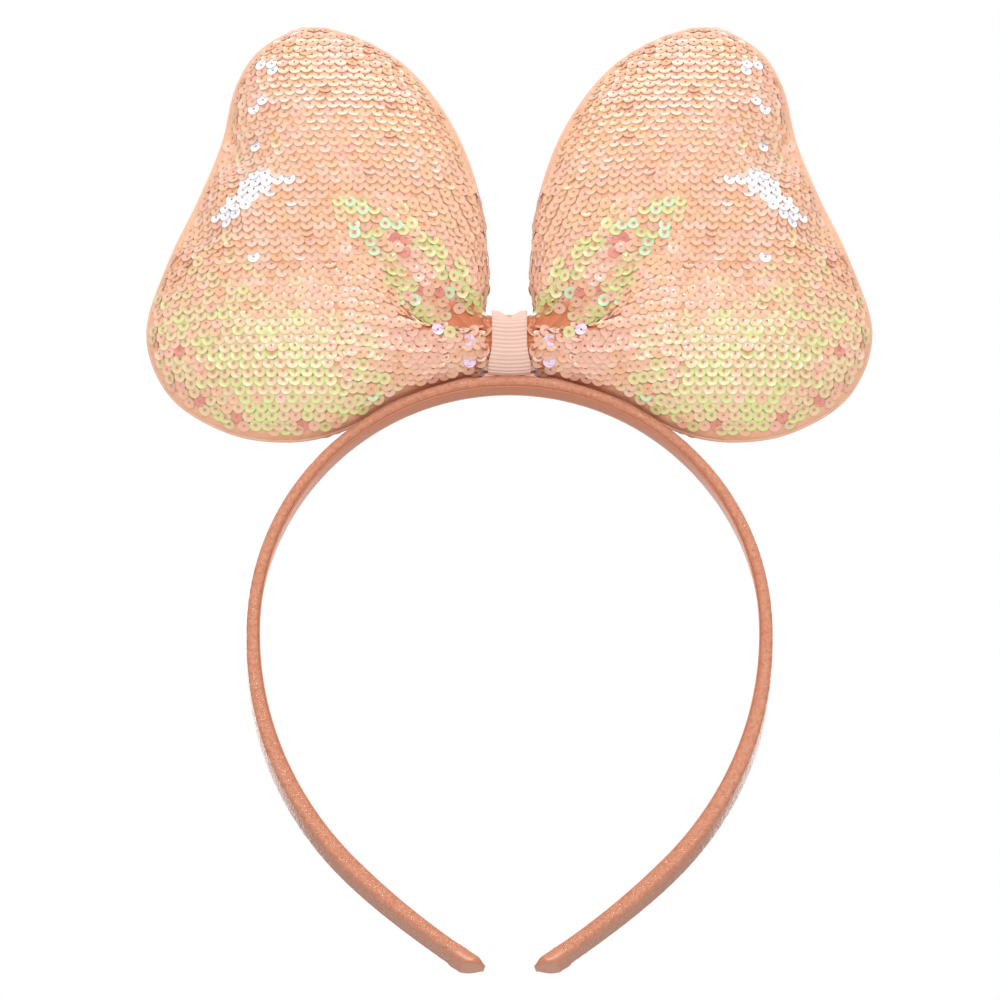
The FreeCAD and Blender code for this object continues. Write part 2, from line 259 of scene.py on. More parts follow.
def sweep(stations, section_at):
    """Vertices and faces of a closed tube along the hoop. section_at(s) gives its (y, h) outline."""
    verts, faces = [], []
    for s in stations:
        point, normal = hoop_point(s)
        cos, sin = math.cos(twist(s)), math.sin(twist(s))
        for y, h in section_at(s):
            y, h = y * cos - h * sin, y * sin + h * cos
            verts.append((point[0] + normal[0] * h, y, point[1] + normal[1] * h))
    n = len(section_at(stations[0]))
    for j in range(len(stations) - 1):
        a, b = j * n, (j + 1) * n
        for i in range(n):
            k = (i + 1) % n
            faces.append((a + i, a + k, b + k, b + i))
    last = (len(stations) - 1) * n
    caps = len(verts)
    verts += verts[:n] + verts[last:last + n]
    faces.append(tuple(reversed(range(caps, caps + n))))
    faces.append(tuple(range(caps + n, caps + 2 * n)))
    return np.array(verts), faces


PUCKER = [Ripple(seed, 3.6, 0.9) for seed in range(12)]


def satin_section(s):
    """The sleeve's outline, crowned and rounded, with small crosswise puckers that differ round it."""
    outline = rounded_section(5.0, -1.0, 1.4, 1.0)
    y, h = outline[:, 0], outline[:, 1]
    crowning = 0.12 * (1 - (y / 5.0) ** 2)
    outline[:, 1] += np.where(h > 0.2, crowning, 0)
    angle = np.arctan2(h - 0.2, y)
    place = (angle / (2 * math.pi) * len(PUCKER)) % len(PUCKER)
    first = np.floor(place).astype(int)
    part = place - first
    waves = np.array([ripple(s) for ripple in PUCKER])
    drift = (1 - part) * waves[first % len(PUCKER)] + part * waves[(first + 1) % len(PUCKER)]
    edge = 0.35 + 0.65 * smoothstep(2.5, 4.6, np.abs(y))
    size = 0.07 * edge * drift * smoothstep(0, 4, s)
    outline[:, 0] += size * np.cos(angle) * 0.8
    outline[:, 1] += size * np.sin(angle)
    plump = 0.4 * smoothstep(35, 95, s)
    plump += 0.65 * smoothstep(95, 130, s) * (1 - smoothstep(160, 190, s))
    outline[:, 1] += plump * smoothstep(0.0, 1.2, h)
    return outline


def lining_section(s):
    """A flat ribbon on the head side, its edges wandering very slightly."""
    half = 4.02 + 0.06 * LINING_EDGE(s) * smoothstep(0, 4, s)
    return rounded_section(half, -1.36, -0.98, 0.12, per_corner=2, per_side=6)


def core_section(s):
    """The plastic strip, the same all along."""
    return rounded_section(4.4, -0.6, 1.0, 0.55, per_corner=3, per_side=4)


LINING_EDGE = Ripple(31, 9.0, 2.0)
TIP_FOLD = Ripple(37, 5.0, 1.2)


def tip_section(s):
    """The folded cap: it hugs the band, then its outer face slants down to a thin inner edge."""
    end = hoop_length()
    close = np.clip((s - end + BAND_SHORT_OF_TIP) / (TIP_OVERHANG + CORE_SHORT_OF_TIP), 0, 1)
    close = 0.75 * close + 0.25 * smoothstep(0, 1, close)
    nose = smoothstep(end - 1.2, end + TIP_OVERHANG + 0.3, s)
    hem = smoothstep(end - CAP_COVERS, end - 5.4, s)
    half = 5.02 + 0.06 * hem - 3.1 * nose ** 1.5
    low = -1.4 - 0.03 * hem + 0.2 * nose
    high = 1.92 + 0.07 * hem + (-0.85 - 1.99) * close
    outline = rounded_section(half, low, high, 1.0 - 0.75 * close, per_corner=5, per_side=8)
    y = outline[:, 0]
    fold = np.exp(-((y - 1.6 + 0.55 * (s - end)) / 0.45) ** 2)
    outline[:, 1] += np.where(outline[:, 1] > 0, 0.06 * fold * (1 - close), 0)
    outline[:, 1] += 0.03 * TIP_FOLD(s + 0.4 * y) * (1 - close)
    return outline


satin = material("satin", (196, 130, 102), 0.15, Specular_IOR_Level=0.5,
                 Specular_Tint=linear((255, 222, 204)))
grain(satin, 1250, 0.9, 0.0004, (1, 0.6, 1), (205, 141, 114), (187, 120, 92))
lining_satin = material("lining_satin", (204, 128, 94), 0.4, Specular_IOR_Level=0.3)
grain(lining_satin, 1500, 0.3, 0.0001)
tip_satin = material("tip_satin", (195, 128, 99), 0.24, Specular_IOR_Level=0.4)
grain(tip_satin, 1100, 0.3, 0.0001)
hoop_plastic = material("hoop_plastic", (226, 190, 170), 0.5)
grain(hoop_plastic, 900, 0.2, 0.0001, light=(229, 194, 174), dark=(222, 185, 165))

end_s = hoop_length()
band_end = end_s - BAND_SHORT_OF_TIP
hinge = math.radians(HINGE_ANGLE)
for side in ("left", "right"):
    pivot, _ = hoop_point(hinge * CROWN_RADIUS)
    layers = [
        ("satin", satin, satin_section, np.linspace(0, band_end, 560), "satin_cover", "satin"),
        ("lining", lining_satin, lining_section, np.linspace(0, band_end, 260), "lining_ribbon",
         "lining_satin"),
        ("core", hoop_plastic, core_section, np.linspace(0, end_s - CORE_SHORT_OF_TIP, 150), "core",
         "hoop_plastic"),
    ]
    for layer, mat, section, stations, node, slot in layers:
        verts, faces = sided(side, *sweep(stations, section))
        piece = mesh_piece(f"{side}_hoop_{layer}", verts, faces, [mat], caps=2)
        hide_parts(f"crown_{node}", f"{side}_arm_{node}")
        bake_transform(piece)
    stations = np.linspace(end_s - CAP_COVERS, end_s + TIP_OVERHANG, 40)
    verts, faces = sided(side, *sweep(stations, tip_section))
    tip = mesh_piece(f"{side}_tip_cap", verts, faces, [tip_satin], caps=2)
    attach(tip, f"{side}_arm")
    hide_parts(f"{side}_tip_wrap")


# ---------------------------------------------------------------- knot

RIBBON_HALF_WIDTH = 4.3
RIBBON_LOW, RIBBON_HIGH, RIBBON_DEPTH = 63.6, 79.5, 8.1
RIB_PITCH, RIB_HEIGHT = 1.02, 0.15
RIBBON_THICKNESS = 0.45
RIBBON_SAMPLES, RIBBON_ACROSS = 400, 21


def ribbon_loop(samples):
    """Points (y, z) evenly spaced round the ribbon's loop, from the middle of the front, upwards."""
    outline = rounded_section(RIBBON_DEPTH, RIBBON_LOW, RIBBON_HIGH, 5.4, 16, 8)
    closed = np.vstack([outline, outline[:1]])
    lengths = np.hypot(*np.diff(closed, axis=0).T)
    total = np.concatenate([[0], np.cumsum(lengths)])
    places = np.linspace(0, total[-1], samples, endpoint=False)
    y = np.interp(places, total, closed[:, 0])
    z = np.interp(places, total, closed[:, 1])
    return y, z, total[-1]


def knot_ribbon():
    """The grosgrain loop: woven ribs across it, a pinched top and a flared foot."""
    samples, across = RIBBON_SAMPLES, RIBBON_ACROSS
    y, z, length = ribbon_loop(samples)
    tangent = np.stack([np.roll(y, -1) - np.roll(y, 1), np.roll(z, -1) - np.roll(z, 1)], 1)
    tangent /= np.linalg.norm(tangent, axis=1)[:, None]
    normal = np.stack([tangent[:, 1], -tangent[:, 0]], 1)
    ribs = round(length / RIB_PITCH)
    phase = np.arange(samples) / samples * ribs * 2 * math.pi
    rib = RIB_HEIGHT * np.sin(phase)
    front = smoothstep(0, 4, -y)
    verts, faces = [], []
    for layer, lift in ((0, 0.0), (1, -RIBBON_THICKNESS)):
        for i in range(samples):
            flare = 1 + 0.22 * front[i] * (1 - smoothstep(RIBBON_LOW, 70.5, z[i]))
            for j in range(across):
                v = 2 * j / (across - 1) - 1
                push = lift + (rib[i] if layer == 0 else 0)
                x = v * RIBBON_HALF_WIDTH * flare
                py = y[i] + normal[i, 0] * push
                pz = z[i] + normal[i, 1] * push
                top = smoothstep(76.5, 79.3, z[i])
                pz -= 1.7 * top * max(0.0, 1 - abs(v) / 0.62)
                pz += 0.3 * top * smoothstep(0.75, 1.0, abs(v))
                pz -= 0.55 * front[i] * (1 - top) * (1 - v * v)
                py -= 0.5 * front[i] * (1 - v * v)
                verts.append((x, py, pz))
    n = samples * across

    def index(layer, i, j):
        return layer * n + (i % samples) * across + j

    for i in range(samples):
        for j in range(across - 1):
            faces.append((index(0, i, j), index(0, i, j + 1), index(0, i + 1, j + 1),
                          index(0, i + 1, j)))
            faces.append((index(1, i, j), index(1, i + 1, j), index(1, i + 1, j + 1),
                          index(1, i, j + 1)))
        for j in (0, across - 1):
            quad = (index(0, i, j), index(0, i + 1, j), index(1, i + 1, j), index(1, i, j))
            faces.append(quad if j == 0 else tuple(reversed(quad)))
    return np.array(verts), mirror_faces(faces)


grosgrain = material("grosgrain", (222, 186, 171), 0.62, Sheen_Weight=0.1)
grain(grosgrain, 3500, 0.3, 0.00008)
ribbon = mesh_piece("knot_ribbon_loop", *knot_ribbon(), [grosgrain])
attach(ribbon, "crown")
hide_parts("knot_ribbon")


# ---------------------------------------------------------------- lobes

def catmull_rom(points, per_span):
    """A smooth open curve through the points."""
    p = np.array(points, float)
    p = np.vstack([2 * p[0] - p[1], p, 2 * p[-1] - p[-2]])
    curve = []
    for i in range(1, len(p) - 2):
        for f in np.linspace(0, 1, per_span, endpoint=False):
            a, b, c, d = p[i - 1], p[i], p[i + 1], p[i + 2]
            curve.append(0.5 * (2 * b + (c - a) * f + (2 * a - 5 * b + 4 * c - d) * f ** 2
                                + (3 * b - 3 * c + d - a) * f ** 3))
    curve.append(p[-2])
    return np.array(curve)


def lobe_rim(sectors):
    """Rim points by direction from the lobe's centre, and each one's half depth at the throat."""
    seam = catmull_rom(SEAM_LINE, 24)
    high = np.array([THROAT_X, THROAT_HIGH])
    low = np.array([THROAT_X, THROAT_LOW])
    loop = np.vstack([seam, np.linspace(seam[-1], low, 12)[1:],
                      np.linspace(low, high, 30)[1:], np.linspace(high, seam[0], 12)[1:-1]])
    away = loop - LOBE_CENTRE
    # the loop runs clockwise, so its bearings are negated to make them rise
    bearing = -np.unwrap(np.arctan2(away[:, 1], away[:, 0]))
    reach = np.hypot(away[:, 0], away[:, 1])
    start = bearing[0]
    wanted = start + np.arange(sectors) / sectors * 2 * math.pi
    around = np.append(bearing, start + 2 * math.pi)
    reach = np.append(reach, reach[0])
    sizes = np.interp(wanted, around, reach)
    direction = -wanted
    rim = LOBE_CENTRE + sizes[:, None] * np.stack([np.cos(direction), np.sin(direction)], 1)
    throat = rim[:, 0] < THROAT_X + 0.6
    middle = (THROAT_LOW + THROAT_HIGH) / 2
    span = (THROAT_HIGH - THROAT_LOW) / 2
    ellipse = np.sqrt(np.clip(1 - ((rim[:, 1] - middle) / span) ** 2, 0, 1))
    return rim, np.where(throat, THROAT_DEPTH * ellipse, 0.0)


def inflate(rim, throat, rings):
    """Half depth of a membrane blown up between the rim points, by ring and sector."""
    sectors = len(rim)
    steps = np.sin(np.linspace(0, math.pi / 2, rings + 1))[1:]
    grid = LOBE_CENTRE + (rim - LOBE_CENTRE)[None] * steps[:, None, None]
    points = np.vstack([LOBE_CENTRE[None], grid.reshape(-1, 2)])

    def at(ring, sector):
        return 0 if ring == 0 else 1 + (ring - 1) * sectors + sector % sectors

    triangles = []
    for ring in range(rings):
        for sector in range(sectors):
            a, b = at(ring, sector), at(ring, sector + 1)
            c, d = at(ring + 1, sector), at(ring + 1, sector + 1)
            if ring:
                triangles.append((a, c, b))
            triangles.append((b, c, d))
    stiffness = np.zeros((len(points), len(points)))
    load = np.zeros(len(points))
    for tri in triangles:
        p = points[list(tri)]
        area = abs(np.cross(p[1] - p[0], p[2] - p[0])) / 2
        for k in range(3):
            i, j, m = tri[k], tri[(k + 1) % 3], tri[(k + 2) % 3]
            u, v = points[i] - points[m], points[j] - points[m]
            weight = (u @ v) / (4 * area)
            stiffness[i, j] -= weight
            stiffness[j, i] -= weight
            stiffness[i, i] += weight
            stiffness[j, j] += weight
            load[i] += area / 3
    edge = len(points) - sectors
    held = np.zeros(len(points))
    held[edge:] = throat ** 2
    inner = slice(0, edge)
    system = stiffness[inner, inner]
    blown = np.linalg.solve(system, load[inner])
    drawn = np.linalg.solve(system, -stiffness[inner, edge:] @ held[edge:])
    squared = blown / blown.max() * LOBE_HALF_DEPTH ** 2 + drawn
    squared = np.concatenate([squared, held[edge:]])
    centre = squared[0]
    return centre, squared[1:].reshape(rings, sectors)


CLOTH_START, CLOTH_PRESSURE, CLOTH_CAP = 0.96, 4.0, 1.5   # share of depth, pressure, mm
CLOTH_FRAMES = 20
COARSE_SECTORS, COARSE_RINGS = 60, 15
FINE = 3
SECTORS, RINGS = COARSE_SECTORS * FINE, COARSE_RINGS * FINE


def refine(coarse):
    """Values by coarse ring and sector, spread evenly over the fine rings and sectors."""
    lean = np.linspace(0, COARSE_RINGS, RINGS + 1)
    rows = np.array([np.interp(lean, np.arange(COARSE_RINGS + 1), coarse[:, s])
                     for s in range(COARSE_SECTORS)]).T
    turn = np.arange(SECTORS) / FINE
    return np.array([np.interp(turn, np.arange(COARSE_SECTORS + 1), np.append(row, row[0]))
                     for row in rows])


def fine_grid():
    """The lobe's flat grid (ring, sector) and its half depths, refined from the coarse membrane."""
    rim, throat = lobe_rim(COARSE_SECTORS)
    centre, coarse = inflate(rim, throat, COARSE_RINGS)
    coarse = np.vstack([np.full(COARSE_SECTORS, centre), coarse])
    fine_rim, fine_throat = lobe_rim(SECTORS)
    squared = refine(coarse)
    squared[-1] = fine_throat ** 2
    steps = np.sin(np.linspace(0, math.pi / 2, RINGS + 1))
    grid = LOBE_CENTRE + (fine_rim - LOBE_CENTRE)[None] * steps[:, None, None]
    depth = LOBE_HALF_DEPTH * (np.clip(squared, 0, None) / LOBE_HALF_DEPTH ** 2) ** 0.47
    return grid, depth


# The crease out of the knot: its line (x, z), and at each point its depth and its width each side
VALLEY = np.array([(4.0, 76.2), (11.0, 75.4), (17.0, 75.4), (22.5, 78.5), (28.0, 86.5),
                   (35.0, 101.0)])
VALLEY_DEPTHS = [4.5, 7.4, 7.2, 5.6, 3.2, 0.0]
VALLEY_ABOVE = [3.0, 7.0, 9.0, 10.0, 10.0, 8.0]
VALLEY_BELOW = [0.9, 1.0, 1.3, 2.2, 4.0, 6.0]
# Place (x, z), depth and width of each dimple in the lobe's outer side
DIMPLES = [((69.5, 120.4), 3.8, 8.5), ((76.0, 101.0), 3.0, 8.0)]


def valley(points):
    """How far the pocket above the crease sinks the front, for points (x, z)."""
    line = catmull_rom(VALLEY, 10)
    place = np.linspace(0, len(VALLEY) - 1, len(line))
    gap = points[:, None, :] - line[None]
    distance = np.hypot(gap[..., 0], gap[..., 1])
    nearest = distance.argmin(1)
    q = place[nearest]
    tangent = np.gradient(line, axis=0)[nearest]
    near = gap[np.arange(len(points)), nearest]
    above = tangent[:, 0] * near[:, 1] - tangent[:, 1] * near[:, 0] > 0
    stops = np.arange(len(VALLEY))
    width = np.where(above, np.interp(q, stops, VALLEY_ABOVE), np.interp(q, stops, VALLEY_BELOW))
    sink = np.interp(q, stops, VALLEY_DEPTHS)
    return sink * np.exp(-(distance[np.arange(len(points)), nearest] / width) ** 2)


def shaped_depth(grid, depth, front):
    """The pillow with its gathers, pocket and side dimples."""
    flat = grid.reshape(-1, 2)
    d = depth.reshape(-1).copy()
    away = flat - KNOT
    radius = np.hypot(away[:, 0], away[:, 1])
    bearing = np.arctan2(away[:, 1], away[:, 0])
    swell = smoothstep(0, 4, d)
    pleat = np.sin(21 * bearing + (0.8 if front else 2.1)) + 0.5 * np.sin(34 * bearing + 1.3)
    d += 0.55 * pleat * np.exp(-radius / 13) * swell
    sink = valley(flat) * (1.0 if front else 0.45)
    d -= np.minimum(sink, 0.62 * d) * smoothstep(0.5, 5, d)
    for (x, z), size, width in DIMPLES:
        near = np.hypot(flat[:, 0] - x, flat[:, 1] - z)
        d -= np.minimum(size * np.exp(-(near / width) ** 2), 0.6 * d) * swell
    wander = np.sin(flat[:, 0] / 9.5 + 1.1) * np.sin(flat[:, 1] / 11.0 + (0.3 if front else 1.7))
    d += 0.35 * wander * smoothstep(2, 9, d)
    return np.clip(d, 0, None).reshape(depth.shape)


def lobe_grids(grid, depths, rings, sectors):
    """Front and back sheets of the lobe from their half depths, as one mesh of two open sheets."""
    verts, faces = [], []
    for sign, d in zip((-1, 1), depths):
        start = len(verts)
        verts.append((LOBE_CENTRE[0], sign * d[0, 0], LOBE_CENTRE[1]))
        for ring in range(1, rings + 1):
            for sector in range(sectors):
                x, z = grid[ring, sector]
                verts.append((x, sign * d[ring, sector], z))

        def at(ring, sector):
            return start if ring == 0 else start + 1 + (ring - 1) * sectors + sector % sectors

        for ring in range(rings):
            for sector in range(sectors):
                a, b = at(ring, sector), at(ring, sector + 1)
                c, e = at(ring + 1, sector), at(ring + 1, sector + 1)
                face = (a, c, e) if ring == 0 else (a, c, e, b)
                faces.append(tuple(reversed(face)) if sign < 0 else face)
    return np.array(verts), faces


def cloth_swell(grid, depths):
    """Change of each sheet's depth, in mm, when a coarse, slightly thinner cloth of it is blown up.

    The cloth itself moves little, so most of the change is the thinner start.
    """
    coarse_grid = grid[::FINE, ::FINE]
    coarse = [d[::FINE, ::FINE] * CLOTH_START for d in depths]
    verts, faces = lobe_grids(coarse_grid, coarse, COARSE_RINGS, COARSE_SECTORS)
    piece = mesh_piece("lobe_cloth", verts, faces, [])
    per_sheet = len(verts) // 2
    rim = [k for k in range(len(verts)) if k % per_sheet >= per_sheet - COARSE_SECTORS]
    held = piece.vertex_groups.new(name="held")
    held.add(rim, 1.0, "REPLACE")
    cloth = piece.modifiers.new("cloth", "CLOTH").settings
    cloth.quality = 6
    cloth.mass = 0.05
    cloth.use_pressure = True
    cloth.uniform_pressure_force = CLOTH_PRESSURE
    cloth.vertex_group_mass = "held"
    cloth.effector_weights.gravity = 0
    for step in range(1, CLOTH_FRAMES + 1):
        bpy.context.scene.frame_set(step)
    graph = bpy.context.evaluated_depsgraph_get()
    blown = piece.evaluated_get(graph).data
    places = np.empty(len(verts) * 3)
    blown.vertices.foreach_get("co", places)
    places = places.reshape(-1, 3) / MM
    bpy.context.scene.frame_set(1)
    bpy.data.objects.remove(piece)
    swell = []
    for sheet, (sign, d) in enumerate(zip((-1, 1), depths)):
        own = places[sheet * per_sheet:(sheet + 1) * per_sheet, 1] * sign
        now = np.vstack([np.full(COARSE_SECTORS, own[0]),
                         own[1:].reshape(COARSE_RINGS, COARSE_SECTORS)])
        change = np.clip(now - d[::FINE, ::FINE], -CLOTH_CAP, CLOTH_CAP)
        fine = refine(change)
        fine[-1] = 0
        swell.append(fine)
    return swell


def lobe_mesh():
    """Right lobe: front and back grids that share the seam line but stay open at the throat."""
    grid, depth = fine_grid()
    depths = [shaped_depth(grid, depth, front) for front in (True, False)]
    swells = cloth_swell(grid, depths)
    depths = [np.clip(d + swell, 0, None) for d, swell in zip(depths, swells)]
    return *lobe_grids(grid, depths, RINGS, SECTORS), grid[-1]


def tube(path, radius, sides=8):
    """A round bead of fabric along an open path of points in the plane of the seam."""
    tangent = np.gradient(path, axis=0)
    tangent /= np.linalg.norm(tangent, axis=1)[:, None]
    across = np.array([0.0, 1.0, 0.0])
    other = np.cross(tangent, across)
    verts, faces = [], []
    for i, point in enumerate(path):
        for k in range(sides):
            a = 2 * math.pi * k / sides
            verts.append(point + radius * (math.cos(a) * across + math.sin(a) * other[i]))
    for i in range(len(path) - 1):
        for k in range(sides):
            m = (k + 1) % sides
            faces.append((i * sides + k, i * sides + m, (i + 1) * sides + m, (i + 1) * sides + k))
    faces.append(tuple(reversed(range(sides))))
    faces.append(tuple((len(path) - 1) * sides + k for k in range(sides)))
    return np.array(verts), faces


def seam_path(edge):
    """The stitched part of the lobe's edge, in order, without the stretch inside the knot."""
    part = [p for p in edge if p[0] > SEAM_STARTS_AT_X]
    gaps = [np.hypot(*(np.array(b) - np.array(a))) for a, b in zip(part[:-1], part[1:])]
    cut = int(np.argmax(gaps)) + 1 if max(gaps) > SEAM_GAP else 0
    return np.array([(x, 0.0, z) for x, z in part[cut:] + part[:cut]])


# ---------------------------------------------------------------- sequins

SEQUIN_RADII = [0.30, 0.66, 1.18, 1.54]
SEQUIN_HEIGHTS = [0.0, 0.01, 0.06, 0.13]
SEQUIN_SIDES = 14
PITCH, ROW = 2.86, 2.0
FAN_RINGS, FAN_START, FAN_STEP = 18, 3.4, 2.0
FAN_FROM, FAN_SWEEP = math.radians(-42), math.radians(150)
FILLERS = 9000
RIM_MARGIN = 1.2
# Least gap between sequins by their distance from the knot
GAP_DISTANCES, GAPS, FILLER_SHARE = [4, 14, 34], [1.15, 1.6, 1.98], 0.84
# Seen from below the front, a ring shows higher by this share of how far forward it stands
VIEW_SLOPE = 0.25

CLASSES = {
    "peach": (232, 184, 154), "blush": (233, 180, 158), "honey": (233, 185, 147),
    "orange": (231, 175, 139), "pale": (234, 194, 172), "lime_peach": (224, 202, 156),
    "lime": (214, 216, 146), "mint": (198, 228, 188), "coral": (220, 138, 126),
    "silver": (240, 242, 248), "lavender": (232, 208, 240),
}
NAMES = list(CLASSES)
# In the iridescent classes the painted flash sits on the outer bands of each ring; the inner band
# keeps a plainer tone.
TWO_TONE = ("lime_peach", "lime", "mint")
INNER_TONE = (222, 182, 150)


def blob(x, z, cx, cz, rx, rz, lean=0.0):
    """1 in the middle of a soft ellipse, 0 well outside it. lean turns it, in degrees."""
    a = math.radians(lean)
    u = ((x - cx) * math.cos(a) + (z - cz) * math.sin(a)) / rx
    v = (-(x - cx) * math.sin(a) + (z - cz) * math.cos(a)) / rz
    return math.exp(-(u * u + v * v) ** 1.5)


def near_line(x, z, points, width):
    """1 on a polyline, fading to 0 about a width away."""
    best = 1e9
    p = np.array([x, z])
    for a, b in zip(points[:-1], points[1:]):
        a, b = np.array(a, float), np.array(b, float)
        f = np.clip((p - a) @ (b - a) / ((b - a) @ (b - a)), 0, 1)
        best = min(best, np.hypot(*(p - a - f * (b - a))))
    return math.exp(-(best / width) ** 2)


# Painted reflection: rings near these two lines take the mint and lime flashes of the iridescent film.
MINT_ARM = [(40.0, 107.0), (35.2, 100.4), (30.6, 95.4), (25.9, 86.8), (19.6, 78.6), (15.5, 76.8)]
MINT_INNER_ARM = [(40.0, 107.0), (34.0, 105.9), (20.0, 97.9), (14.9, 92.9), (9.0, 82.5)]
# Painted glints: white rings along this line and at these spots stand for rings that flash the light
PAINTED_GLINT_LINE = [(56.5, 113.8), (62.0, 111.5), (68.0, 105.3)]
GLINTS = [(59.0, 142.8), (53.2, 145.6), (61.0, 133.7), (61.0, 124.3), (60.8, 116.8),
          (67.6, 102.8), (61.9, 94.2)]
# Soft ellipses of colour: middle x and z, half width and half height, and a lean in degrees. The lime,
# mint, coral, pink and lavender zones are painted reflection: the iridescent flashes of the rings,
# fixed to them.
LIME_ZONE, LIME_FOOT = (58.0, 67.0, 25.0, 14.0, 26), (46.0, 57.0, 17.0, 8.5)
LIME_SIDE, LIME_LOW = (68.0, 84.0, 14.0, 9.0), (43.0, 57.0, 13.0, 7.0)
MINT_LOW, MINT_TOP = (43.0, 56.0, 9.0, 5.0), (33.0, 103.0, 9.0, 6.0)
CORAL_SIDE = (80.0, 62.0, 6.0, 12.0)
BLUSH_FOLD, PINK_ZONE = (21.0, 90.0, 7.0, 5.0, -50), (15.0, 71.5, 12.0, 7.0)
LAVENDER_SPOT = (24.9, 64.6, 1.5, 1.5)
HONEY_TOP, HONEY_FOLD = (22.0, 125.0, 16.0, 22.0), (35, 88, 10, 7)
# The pale zone on the outer upper side is a painted sheen, where that side of the lobe catches the
# light.
ORANGE_BAND, PALE_SHEEN_SIDE = (55.0, 92.0, 22.0, 8.0, -35), (60.0, 114.0, 12.0, 26.0)
GLINT_SIZE = 1.9
# Painted reflection: coral flashes of the iridescent rings at these spots.
CORAL_SPOTS = [
    (27.1, 98.0, 1.9, 2.2), (23.2, 84.4, 1.6, 2.2), (17.8, 84.9, 1.6, 1.6), (11.8, 84.1, 1.5, 2.0),
    (64.0, 53.9, 1.5, 1.5), (50.2, 52.4, 1.5, 1.5), (76.7, 56.6, 1.6, 1.6),
    (39.0, 62.9, 1.7, 1.5), (79.8, 70.5, 1.5, 1.5),
]


def chances(x, z):
    """How likely each class is at a place on the front, x and z as they show from below. Its zones
    paint the rings' iridescent flashes, glints and sheen into their classes.
    """
    c = {"peach": 5.0, "blush": 1.3, "honey": 1.0, "orange": 0.8, "pale": 0.6, "silver": 0.01,
         "lime_peach": 0.1, "lime": 0.0, "mint": 0.0, "coral": 0.004, "lavender": 0.02}
    lime = max(blob(x, z, *LIME_ZONE), blob(x, z, *LIME_FOOT))
    c["lime_peach"] += 45 * max(lime, 0.2 * blob(x, z, *LIME_SIDE))
    c["lime"] += 34 * lime ** 2
    c["mint"] += 9 * blob(x, z, *MINT_LOW)
    c["lime"] += 30 * blob(x, z, *LIME_LOW)
    c["coral"] += 0.1 * lime + 0.4 * blob(x, z, *CORAL_SIDE)
    # painted glints: white rings where the rings flash the light
    c["silver"] += 60.0 * near_line(x, z, PAINTED_GLINT_LINE, 2.1)
    for cx, cz in GLINTS:
        c["silver"] += 14.0 * blob(x, z, cx, cz, GLINT_SIZE, GLINT_SIZE)
    arm = max(near_line(x, z, MINT_ARM, 1.9), near_line(x, z, MINT_INNER_ARM, 1.9))
    c["mint"] += 30 * arm * blob(x, z, *MINT_TOP) + 3 * arm
    c["lime"] += 75 * arm ** 1.5
    c["lime_peach"] += 12 * arm
    c["blush"] += 6 * blob(x, z, *BLUSH_FOLD)
    for spot in CORAL_SPOTS:
        c["coral"] += 22 * blob(x, z, *spot)
    pink = blob(x, z, *PINK_ZONE)
    c["blush"] += 9 * pink
    c["lavender"] += 1.2 * pink + 8 * blob(x, z, *LAVENDER_SPOT)
    c["honey"] += 3.0 * blob(x, z, *HONEY_TOP) + 3.0 * blob(x, z, *HONEY_FOLD)
    c["orange"] += 3.0 * blob(x, z, *ORANGE_BAND)
    c["pale"] += 3.0 * blob(x, z, *PALE_SHEEN_SIDE)
    return c


def back_chances(x, z):
    """The same for the back, with fewer coral, mint and painted-glint rings."""
    c = chances(x, z)
    return {name: (value * 0.35 if name in ("coral", "silver", "mint") else value)
            for name, value in c.items()}


def surface_hits(tree, x, z, side):
    """Where the lobe's front (side -1) or back (+1) is, level with (x, z), and its normal."""
    start = Vector((x, side * 60.0, z))
    place, normal, _, _ = tree.ray_cast(start, Vector((0, -side, 0)))
    if place is None:
        return None
    if normal.y * side < 0:
        normal = -normal
    return np.array(place), np.array(normal)


def candidates(tree, side, rng):
    """Likely places for sequins: a fan out of the knot, then rows, then fillers at the rim."""
    found = []
    for step in range(FAN_RINGS):
        radius = FAN_START + FAN_STEP * step
        gap = np.interp(radius, [4, 12, 36], [1.7, 2.3, PITCH])
        count = int(FAN_SWEEP * radius / gap)
        for k in range(count + 1):
            bearing = FAN_FROM + FAN_SWEEP * (k + 0.5 * (step % 2)) / max(count, 1)
            found.append((KNOT[0] + radius * math.cos(bearing),
                          KNOT[1] + radius * math.sin(bearing)))
    row = 0
    z = 46.6
    while z < 156:
        x = 3.0 + (PITCH / 2 if row % 2 else 0)
        while x < 91:
            hit = surface_hits(tree, x, z, side)
            stretch = 1.0
            if hit is not None:
                found.append((x, z))
                _, normal = hit
                slope = normal[0] / max(abs(normal[1]), 0.18)
                stretch = math.sqrt(1 + slope ** 2)
            x += PITCH / min(stretch, 4.0) if hit is not None else 0.4
        z += ROW
        row += 1
    fill = rng.uniform((3.0, 45.0), (91.0, 157.0), (FILLERS, 2))
    return [(x, z, False) for x, z in found] + [(x, z, True) for x, z in fill]


RIM = catmull_rom(SEAM_LINE, 24)


def pocket(x, z):
    """True in the deep fold above the crease, where the fabric is bare."""
    return 4 < x < 15.5 and 75.0 < z < 76.4 + 0.42 * (x - 3)


def choose_places(tree, side, rng):
    """Points and normals on one face of the lobe, kept apart by a distance that grows outwards."""
    kept, normals = np.zeros((4000, 3)), np.zeros((4000, 3))
    count = 0
    for x, z, filler in candidates(tree, side, rng):
        if x < 4.6:
            continue
        hit = surface_hits(tree, x, z, side)
        if hit is None:
            continue
        place, normal = hit
        at_rim = x > 9 and np.hypot(*(RIM - (x, z)).T).min() < RIM_MARGIN
        if abs(place[1]) < RIM_MARGIN or at_rim:
            continue
        if pocket(x, z):
            continue
        near = np.interp(math.hypot(x - KNOT[0], z - KNOT[1]), GAP_DISTANCES, GAPS)
        if filler:
            near *= FILLER_SHARE
        if count:
            gap = kept[:count] - place
            if (gap * gap).sum(1).min() < near * near:
                continue
        kept[count], normals[count] = place, normal
        count += 1
    return kept[:count], normals[:count]


